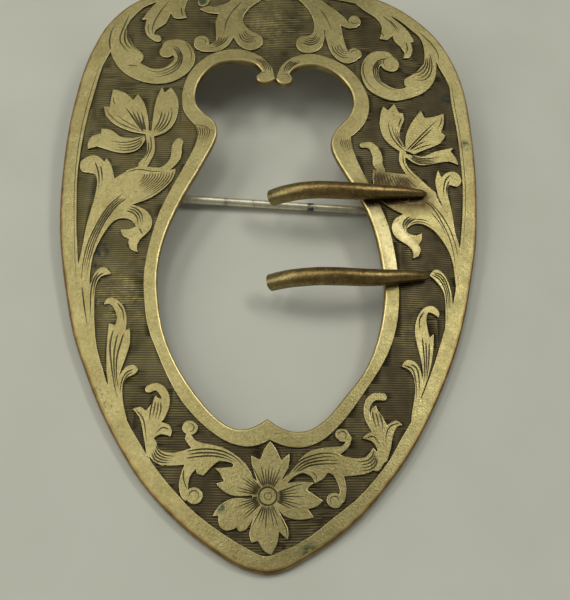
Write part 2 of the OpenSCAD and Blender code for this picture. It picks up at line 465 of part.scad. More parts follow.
// The bent plate, with its opening cut through and its ground sunk
module plate() {
    difference() {
        intersection() {
            translate([0, 0, -12]) linear_extrude(16) difference() {
                outline();
                opening();
            }
            drum(0);
        }
        drum(plate_t);
        difference() {
            translate([0, 0, -11]) linear_extrude(14) ground();
            drum(relief_h);
        }
        tenon_hole(upper_tenon_y);
        tenon_hole(lower_tenon_y);
    }
}

module tenon_hole(y) {
    translate([tenon_x, y, face_z(tenon_x) - 3]) cylinder(r = tenon_r + bore_gap, h = 6, $fn = 48);
}

// One ear of the hinge, with the hole for its rivet
module ear(y) {
    root = back_z(hinge_x) + 0.4 - hinge_z;
    translate([hinge_x, y + ear_t, hinge_z])
        rotate([90, 0, 0])
            linear_extrude(ear_t)
                difference() {
                    union() {
                        circle(r = ear_r, $fn = 48);
                        translate([-ear_r, 0]) square([2 * ear_r, root]);
                    }
                    circle(r = rivet_r + hinge_gap, $fn = 48);
                }
}

// The hook for the stem's end, a strip bent round with its mouth towards the stem
module catch_hook() {
    root = back_z(catch_x) + 0.4 - hook_z;
    translate([catch_x - hook_w / 2, catch_y, hook_z])
        rotate([90, 0, 90])
            linear_extrude(hook_w) {
                difference() {
                    circle(r = hook_r, $fn = 48);
                    circle(r = hook_r - hook_t, $fn = 48);
                    translate([-2 * hook_r, 0]) square([4 * hook_r, 2 * hook_r]);
                    rotate(125) translate([0, -2 * hook_r]) square([2 * hook_r, 4 * hook_r]);
                }
                translate([hook_r - hook_t, 0]) square([hook_t, root]);
            }
}

module frame() {
    color(brass) at_rest() {
        plate();
        ear(ear_front);
        ear(hinge_y + barrel_w / 2 + side_gap);
        catch_hook();
    }
}

// Tapered round wire, swept along rows of x, y, height above the face, share of thickness
module prong(rows, tenon_y) {
    sides = 16;
    line = finer([
        for (r = rows)
            [r[0], r[1], r[2] + prong_d / 2 * r[3] + seat_gap + face_z(r[0]), r[3]]]);
    last = len(line) - 1;
    spots = [for (p = line) [p[0], p[1], p[2]]];
    rings = [
        for (i = [0 : last])
            let (along = spots[min(i + 1, last)] - spots[max(i - 1, 0)],
                ahead = along / norm(along),
                up = cross(ahead, [0, 1, 0]) / norm(cross(ahead, [0, 1, 0])),
                across = cross(up, ahead),
                r = prong_d / 2 * line[i][3])
                for (k = [0 : sides - 1])
                    spots[i] + r * (cos(360 * k / sides) * across + sin(360 * k / sides) * up)];
    walls = [
        for (i = [0 : last - 1], k = [0 : sides - 1])
            let (m = (k + 1) % sides)
                each [
                    [i * sides + k, (i + 1) * sides + k, (i + 1) * sides + m],
                    [i * sides + k, (i + 1) * sides + m, i * sides + m]]];
    polyhedron(rings, concat(
        walls,
        [[for (k = [0 : sides - 1]) k]],
        [[for (k = [sides - 1 : -1 : 0]) last * sides + k]]));
    head_z = back_z(tenon_x + tenon_head_r) - seat_gap - tenon_head_t;
    translate([tenon_x, tenon_y, head_z]) cylinder(r = tenon_r, h = 2.5, $fn = 32);
    translate([tenon_x, tenon_y, head_z]) cylinder(r = tenon_head_r, h = tenon_head_t, $fn = 32);
}

module prong_upper() {
    color(bronze) at_rest() prong(prong_upper_rows, upper_tenon_y);
}

module prong_lower() {
    color(bronze) at_rest() prong(prong_lower_rows, lower_tenon_y);
}

// The stem with the eye that turns on the rivet; it swells towards the eye, and is ground
// to a point at its far end
module pin_stem() {
    run = [point_x - hinge_x, point_y - hinge_y, point_z - hinge_z];
    reach = norm(run);
    swing = atan(run[1] / run[0]);
    dip = asin(-run[2] / reach);
    color(silver) at_rest() translate([hinge_x, hinge_y, hinge_z]) difference() {
        union() {
            translate([0, barrel_w / 2, 0]) rotate([90, 0, 0])
                cylinder(r = barrel_r, h = barrel_w, $fn = 48);
            rotate([0, 90 + dip, swing]) {
                cylinder(d = stem_d, h = reach - taper_l, $fn = 32);
                cylinder(r1 = root_r, r2 = stem_d / 2, h = root_l, $fn = 32);
                translate([0, 0, reach - taper_l])
                    cylinder(r1 = stem_d / 2, r2 = point_r, h = taper_l, $fn = 32);
            }
        }
        translate([0, barrel_w, 0]) rotate([90, 0, 0])
            cylinder(r = rivet_r + bore_gap, h = 2 * barrel_w, $fn = 48);
    }
}

// The rivet through both ears, headed at each end
module hinge_rivet() {
    half = barrel_w / 2 + side_gap + ear_t + hinge_gap;
    color(silver) at_rest() translate([hinge_x, hinge_y, hinge_z]) rotate([90, 0, 0]) {
        translate([0, 0, -half - rivet_head_t]) cylinder(r = rivet_head_r, h = rivet_head_t, $fn = 32);
        translate([0, 0, -half - 0.1]) cylinder(r = rivet_r, h = 2 * half + 0.2, $fn = 32);
        translate([0, 0, half]) cylinder(r = rivet_head_r, h = rivet_head_t, $fn = 32);
    }
}

// Lays the plate's own frame on the surface that the buckle rests on
module at_rest() {
    translate([rest_x, rest_y, rest_lift]) rotate([rest_tilt, 0, 0]) children();
}

frame();
prong_upper();
prong_lower();
pin_stem();
hinge_rivet();
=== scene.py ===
import json
import math
import bmesh
import bpy
from mathutils import Matrix, Vector, noise


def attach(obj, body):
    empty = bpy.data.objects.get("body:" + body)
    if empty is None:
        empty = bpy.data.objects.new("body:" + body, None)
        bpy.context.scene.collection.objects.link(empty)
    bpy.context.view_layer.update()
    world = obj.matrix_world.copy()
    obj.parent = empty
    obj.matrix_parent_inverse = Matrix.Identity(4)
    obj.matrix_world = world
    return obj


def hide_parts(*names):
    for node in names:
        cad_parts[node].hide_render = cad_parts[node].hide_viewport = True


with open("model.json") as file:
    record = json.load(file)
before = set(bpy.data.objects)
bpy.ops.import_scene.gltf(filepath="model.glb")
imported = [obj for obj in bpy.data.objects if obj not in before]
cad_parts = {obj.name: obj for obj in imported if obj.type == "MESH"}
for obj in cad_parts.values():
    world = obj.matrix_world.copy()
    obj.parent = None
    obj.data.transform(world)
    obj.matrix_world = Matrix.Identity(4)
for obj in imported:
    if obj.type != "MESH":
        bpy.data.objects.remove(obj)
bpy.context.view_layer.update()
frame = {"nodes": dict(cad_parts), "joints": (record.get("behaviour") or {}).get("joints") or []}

# The table, the soft daylight and the camera
# The buckle lies on a plain pale table, lit by three windows beyond its broad end, a ceiling and
# a fill on its left; the camera looks down on it from its pointed end.
camera_data = bpy.data.cameras.new("camera")
camera_data.lens = 54
camera_data.sensor_width = 36
camera_data.clip_start = 0.005
camera = bpy.data.objects.new("camera", camera_data)
camera.location = (-0.00365, -0.06477, 0.103)
camera.rotation_euler = [math.radians(a) for a in (29.288, -3.609, 0.658)]
bpy.context.scene.collection.objects.link(camera)
bpy.context.scene.camera = camera
bpy.context.scene.view_settings.view_transform = "Standard"

# Lamps that face the buckle: name, place, length and depth, power
for name, place, size, power in (
        ("window_left", (-0.4, 0.2, 0.55), (0.5, 0.12), 0.78),
        ("window_middle", (0.0, 0.2, 0.55), (0.3, 0.12), 0.26),
        ("window_right", (0.35, 0.2, 0.55), (0.3, 0.12), 1.06),
        ("ceiling", (-0.15, 0.05, 0.55), (0.3, 0.12), 0.41),
        ("side_fill", (-0.42, -0.1, 0.3), (0.3, 0.3), 0.69)):
    data = bpy.data.lights.new(name, "AREA")
    data.shape = "RECTANGLE"
    data.size, data.size_y = size
    data.energy = power
    data.color = (1.0, 0.98, 0.92)
    light = bpy.data.objects.new(name, data)
    light.location = place
    light.rotation_euler = (Vector() - Vector(place)).to_track_quat("-Z", "Y").to_euler()
    bpy.context.scene.collection.objects.link(light)
world = bpy.data.worlds.new("room")
world.use_nodes = True
world.node_tree.nodes["Background"].inputs["Color"].default_value = (0.94, 0.94, 0.92, 1)
world.node_tree.nodes["Background"].inputs["Strength"].default_value = 0.18
bpy.context.scene.world = world


def only(piece):
    """Makes one object the selected and active one, in object mode."""
    if bpy.context.mode != "OBJECT":
        bpy.ops.object.mode_set(mode="OBJECT")
    bpy.ops.object.select_all(action="DESELECT")
    piece.select_set(True)
    bpy.context.view_layer.objects.active = piece


def node_of(tree, kind, inputs=(), **settings):
    """A node of a tree, with its settings, and its inputs as values or links."""
    node = tree.nodes.new("ShaderNode" + kind)
    for key, value in settings.items():
        setattr(node, key, value)
    for key, value in dict(inputs).items():
        if isinstance(value, bpy.types.NodeSocket):
            tree.links.new(value, node.inputs[key])
        else:
            node.inputs[key].default_value = value
    return node


def finish_of(name, colour, metallic, roughness):
    """A new material, with its node tree, its shader and the place on the object."""
    material = bpy.data.materials.new(name)
    material.use_nodes = True
    tree = material.node_tree
    shader = tree.nodes["Principled BSDF"]
    shader.inputs["Base Color"].default_value = (*colour, 1)
    shader.inputs["Metallic"].default_value = metallic
    shader.inputs["Roughness"].default_value = roughness
    return material, tree, shader, node_of(tree, "TexCoord").outputs["Object"]


def blend_of(tree, share, a, b):
    """One colour laid over another, by a share."""
    mix = tree.nodes.new("ShaderNodeMix")
    mix.data_type = "RGBA"
    for socket, value in ((mix.inputs[0], share), (mix.inputs[6], a), (mix.inputs[7], b)):
        if isinstance(value, bpy.types.NodeSocket):
            tree.links.new(value, socket)
        else:
            socket.default_value = (*value, 1)
    return mix.outputs[2]


def spots_of(tree, place, scale, low, high, most=1.0):
    """Grey patches between two noise levels, as shares up to the most."""
    patches = node_of(tree, "TexNoise", {"Vector": place, "Scale": scale, "Detail": 3.0})
    return node_of(tree, "MapRange", {"Value": patches.outputs["Fac"], "From Min": low,
                                      "From Max": high, "To Max": most}).outputs[0]


def times(tree, a, b):
    return node_of(tree, "Math", {0: a, 1: b}, operation="MULTIPLY").outputs[0]


def coat(tree, shader, place, tone, scale, strength, depth, detail=3.0):
    """Gives a shader its colour and a fine grain, this deep in metres."""
    tree.links.new(tone, shader.inputs["Base Color"])
    grain = node_of(tree, "TexNoise", {"Vector": place, "Scale": scale, "Detail": detail})
    bump = node_of(tree, "Bump", {"Height": grain.outputs["Fac"], "Strength": strength,
                                  "Distance": depth})
    tree.links.new(bump.outputs[0], shader.inputs["Normal"])


bpy.ops.mesh.primitive_plane_add(size=3, location=(0, 0, -0.0001))
table = bpy.context.object
table.name = "table"
material, tree, shader, place = finish_of("pale_table", (0.55, 0.56, 0.48), 0, 0.75)
shade = blend_of(tree, spots_of(tree, place, 60, 0.3, 0.7),
                 (0.53, 0.54, 0.465), (0.57, 0.58, 0.505))
tree.links.new(shade, shader.inputs["Base Color"])
table.data.materials.append(material)

# The cast frame
# A brass shield with raised scrolls, cast in one piece, then sawn out, filed round at its edges
# and chased with a graver; the ground between the scrolls is ruled with fine lines and left dark.
hinge = frame["joints"][0]
hinge_place = Vector((-23.5, 11.6, -4.9))
turned = Matrix.Rotation(math.atan2(hinge["axis"][2], hinge["axis"][1]), 4, "X")
# The plate is worked on in mm, flat, with its face at height 0; lay takes it to its place
lay = Matrix.Translation(Vector(hinge["pos_m"]) * 1000 - turned @ hinge_place) @ turned
bend_radius = 130
thickness = 1.0
relief = 0.3
opening_half_width, opening_low, opening_high = 15.2, -23, 32.2
# Walls that end above this height stand on the ground; the others go through the plate
through_height = -0.7
edge_round = 0.5
opening_round = 0.3
back_round = 0.12
relief_round = 0.07
# The ruled lines of the ground; on the right they rise by this much a millimetre
line_pitch = 0.31
line_height = 0.024
line_rise = 0.06


def level(x):
    """Height of the bent face at a place across the plate."""
    return math.sqrt(bend_radius * bend_radius - x * x) - bend_radius


def pick_edges(piece, wanted):
    """Selects the wanted edges of the object in edit mode."""
    bm = bmesh.from_edit_mesh(piece.data)
    bm.normal_update()
    for face in bm.faces:
        face.select_set(False)
    bm.select_mode = {"EDGE"}
    for edge in bm.edges:
        edge.select_set(len(edge.link_faces) == 2 and wanted(edge))
    bmesh.update_edit_mesh(piece.data)


def wall_under(edge, height):
    """The wall that meets a level face at an edge of this height, or nothing."""
    if any(abs(v.co.z - height) > 0.05 for v in edge.verts):
        return None
    walls = [f for f in edge.link_faces if abs(f.normal.z) < 0.2]
    flats = [f for f in edge.link_faces if abs(f.normal.z) > 0.95]
    return walls[0] if len(walls) == 1 and len(flats) == 1 else None


def wall_foot(edge):
    """The lowest height of the wall under an edge of the face, or nothing."""
    wall = wall_under(edge, 0)
    return min(v.co.z for v in wall.verts) if wall else None


def at_opening(edge):
    spot = (edge.verts[0].co + edge.verts[1].co) / 2
    return abs(spot.x) < opening_half_width and opening_low < spot.y < opening_high


def is_outer(edge):
    foot = wall_foot(edge)
    return foot is not None and foot < through_height and not at_opening(edge)


def is_inner(edge):
    foot = wall_foot(edge)
    return foot is not None and foot < through_height and at_opening(edge)


def is_relief(edge):
    foot = wall_foot(edge)
    return foot is not None and foot > through_height


def is_back(edge):
    wall = wall_under(edge, -thickness)
    return bool(wall) and max(v.co.z for v in wall.verts) > 0.1 - thickness


def stains_and_painted_light_of(tree, places, low=0.35, high=0.6):
    """Where stains and painted light lie: x, y and reach of each, in mm on the flat plate."""
    flat = node_of(tree, "UVMap", uv_map="flat").outputs[0]
    total = None
    for x, y, reach in places:
        gap = node_of(tree, "VectorMath", {0: flat, 1: (x, y, 0)}, operation="DISTANCE")
        near = node_of(tree, "MapRange", {"Value": gap.outputs["Value"], "From Min": reach,
                                          "From Max": reach * 0.35}).outputs[0]
        if total is not None:
            near = node_of(tree, "Math", {0: total, 1: near}, operation="MAXIMUM").outputs[0]
        total = near
    place = node_of(tree, "TexCoord").outputs["Object"]
    return times(tree, total, spots_of(tree, place, 1300, low, high))


green_places = [(5.0, -36.1, 1.5), (-5.1, -31.4, 0.8), (-11.4, 42.2, 1.4), (-5.0, 39.8, 1.3),
                (27.0, 21.0, 1.1)]
black_places = [(-22.2, 1.6, 1.6), (-22.6, -0.4, 0.9), (8.9, 37.6, 0.9), (-7.7, 38.3, 0.6),
                (24.6, 28.5, 1.2)]
# Painted shadow and dark reflection of the upper prong, on the plate under it
painted_prong_shadow_places = ([(12.0 + k, 10.6 + 0.05 * k, 3.3 - 0.1 * k) for k in range(9)]
                + [(14.5, 13.0, 3.2), (17.5, 12.8, 2.8)])
# Painted highlight: the glare on the right inner rim and the lobes beside it, laid into the brass
# colour
painted_highlight_places = ([(13.3 + 2.45 * math.sin(0.17 * k), 8.7 - k, 1.3) for k in range(9)]
                 + [(16.3 + 0.6 * k, 6.3 - 0.7 * k, 0.9) for k in range(5)])
# Places where the ruled ridges of the ground are lighter
lighter_ridge_places = [(-1.0, 38.6, 6.0), (18.5, 2.0, 4.0), (18.0, -7.0, 4.0), (-18.2, -4.5, 5.5),
                 (24.8, 6.0, 2.5)]

brass, tree, shader, place = finish_of("satin_brass", (0.33, 0.28, 0.12), 0.8, 0.4)
tone = blend_of(tree, spots_of(tree, place, 300, 0.35, 0.65),
                (0.29, 0.245, 0.095), (0.36, 0.315, 0.135))
tone = blend_of(tree, spots_of(tree, place, 2800, 0.45, 0.7, 0.45), tone, (0.17, 0.135, 0.045))
tone = blend_of(tree, spots_of(tree, place, 2300, 0.55, 0.72, 0.4), tone, (0.5, 0.45, 0.21))
# Painted highlight on the right inner rim
tone = blend_of(tree, stains_and_painted_light_of(tree, painted_highlight_places, 0.0, 0.6), tone, (0.56, 0.49, 0.25))
pits = times(tree, spots_of(tree, place, 130, 0.45, 0.62),
             spots_of(tree, place, 2400, 0.62, 0.7, 0.8))
tone = blend_of(tree, pits, tone, (0.14, 0.1, 0.04))
tone = blend_of(tree, stains_and_painted_light_of(tree, green_places), tone, (0.06, 0.085, 0.04))
# Painted shadow and reflection under the upper prong
tone = blend_of(tree, stains_and_painted_light_of(tree, painted_prong_shadow_places, -0.2, 0.5), tone, (0.06, 0.037, 0.011))
worn = node_of(tree, "MapRange", {"Value": spots_of(tree, place, 450, 0.3, 0.7),
                                  "To Min": 0.33, "To Max": 0.43})
tree.links.new(worn.outputs[0], shader.inputs["Roughness"])
coat(tree, shader, place, tone, 4200.0, 1.0, 0.000032, detail=4.0)

# The ground is bare on the ridges of its ruled lines, and darker on the right and towards the tip
ground, tree, shader, place = finish_of("dark_ground", (0.06, 0.05, 0.02), 0.75, 0.52)
flat_place = node_of(tree, "UVMap", uv_map="flat").outputs[0]
parts = node_of(tree, "SeparateXYZ", {"Vector": flat_place})
right_of_middle = node_of(tree, "Math", {0: parts.outputs["X"], 1: 0.0}, operation="MAXIMUM")
rise = times(tree, right_of_middle.outputs[0], line_rise)
across = node_of(tree, "Math", {0: parts.outputs["Y"], 1: rise}, operation="SUBTRACT").outputs[0]
wave = node_of(tree, "Math", {0: times(tree, across, 2 * math.pi / line_pitch)},
               operation="COSINE")
ridge = node_of(tree, "MapRange", {"Value": wave.outputs[0], "From Min": -0.3, "From Max": 1.0})
ridge = times(tree, ridge.outputs[0], spots_of(tree, place, 420, 0.25, 0.6))
deep = blend_of(tree, spots_of(tree, place, 200, 0.35, 0.65),
                (0.045, 0.037, 0.014), (0.09, 0.076, 0.032))
bare = blend_of(tree, stains_and_painted_light_of(tree, lighter_ridge_places), (0.19, 0.16, 0.064), (0.42, 0.36, 0.15))
right = node_of(tree, "MapRange", {"Value": parts.outputs["X"], "From Min": 3.0,
                                   "From Max": 15.0, "To Max": 0.8})
low = node_of(tree, "MapRange", {"Value": parts.outputs["Y"], "From Min": -12.0,
                                 "From Max": -24.0, "To Max": 0.8})
darker_right_and_low = node_of(tree, "Math", {0: right.outputs[0], 1: low.outputs[0]},
                operation="MAXIMUM").outputs[0]
deep = blend_of(tree, darker_right_and_low, deep, (0.036, 0.025, 0.01))
bare = blend_of(tree, times(tree, darker_right_and_low, spots_of(tree, place, 260, 0.7, 0.35)),
                bare, (0.055, 0.042, 0.017))
tone = blend_of(tree, ridge, deep, bare)
tone = blend_of(tree, stains_and_painted_light_of(tree, black_places), tone, (0.02, 0.024, 0.022))
coat(tree, shader, place, tone, 4000.0, 0.5, 0.00003)


def plain_finish(name, low, high, metallic, roughness, scale=600):
    """A finish of two mingled tones with a fine grain."""
    material, tree, shader, place = finish_of(name, low, metallic, roughness)
    tone = blend_of(tree, spots_of(tree, place, scale, 0.35, 0.65), low, high)
    coat(tree, shader, place, tone, 4500.0, 0.3, 0.00002)
    return material


finishes = [
    brass, ground,
    plain_finish("worn_crest", (0.36, 0.3, 0.13), (0.52, 0.45, 0.22), 0.85, 0.34),
    plain_finish("brown_edge", (0.19, 0.127, 0.043), (0.32, 0.23, 0.087), 0.85, 0.4),
    # The opening's rounded edge: worn bright by the strap, and partly a painted highlight
    plain_finish("rubbed_edge_painted_highlight", (0.45, 0.37, 0.15), (0.62, 0.53, 0.25), 0.9, 0.3),
    plain_finish("filed_back", (0.22, 0.17, 0.08), (0.33, 0.27, 0.13), 0.85, 0.45, 220),
    plain_finish("dark_stroke", (0.058, 0.047, 0.019), (0.14, 0.115, 0.048), 0.6, 0.5)]
BRASS, GROUND, CREST, EDGE, RUBBED_HIGHLIGHT, BACK, STROKE = range(7)

plate = bpy.data.objects.new("engraved_frame", frame["nodes"]["frame"].data.copy())
bpy.context.scene.collection.objects.link(plate)
plate.data.materials.clear()
for finish in finishes:
    plate.data.materials.append(finish)
only(plate)
bpy.ops.object.mode_set(mode="EDIT")
bpy.ops.mesh.select_all(action="SELECT")
bpy.ops.mesh.remove_doubles(threshold=1e-6)
bpy.ops.object.mode_set(mode="OBJECT")
plate.data.transform(lay.inverted() @ Matrix.Scale(1000, 4))
for v in plate.data.vertices:
    v.co.z -= level(v.co.x)
for f in plate.data.polygons:
    f.material_index = BRASS
    f.use_smooth = True
bpy.ops.object.mode_set(mode="EDIT")
bpy.ops.mesh.select_all(action="SELECT")
bpy.ops.mesh.dissolve_limited(angle_limit=math.radians(0.8), use_dissolve_boundaries=False)
for wanted, width, segments, slot in (
        (is_outer, edge_round, 4, EDGE), (is_inner, opening_round, 4, RUBBED_HIGHLIGHT),
        (is_back, back_round, 1, BACK), (is_relief, relief_round, 2, CREST)):
    pick_edges(plate, wanted)
    bpy.ops.mesh.bevel(offset=width, segments=segments, profile=0.5, affect="EDGES",
                       clamp_overlap=False)
    plate.active_material_index = slot
    bpy.ops.object.material_slot_assign()
bpy.ops.object.mode_set(mode="OBJECT")
for f in plate.data.polygons:
    height, slope = f.center.z, f.normal.z
    if slope > 0.9 and abs(height + relief) < 0.04:
        f.material_index = GROUND
    elif slope > 0.99 and height > -0.02:
        f.material_index = BRASS
    elif abs(slope) < 0.3 and -relief < height < -0.05 and f.material_index == BRASS:
        f.material_index = GROUND
    elif abs(slope) < 0.45 and height > -thickness and f.material_index in (BRASS, RUBBED_HIGHLIGHT):
        f.material_index = EDGE
    elif slope < -0.9 or height < -thickness:
        f.material_index = BACK
# Strips narrow enough for the plate to follow its bend
strip_width, strip_shift = 1.5, 0.37
bpy.ops.object.mode_set(mode="EDIT")
for k in range(-19, 20):
    bpy.ops.mesh.select_all(action="SELECT")
    bpy.ops.mesh.bisect(plane_co=(k * strip_width + strip_shift, 0, 0), plane_no=(1, 0, 0))
bpy.ops.object.mode_set(mode="OBJECT")

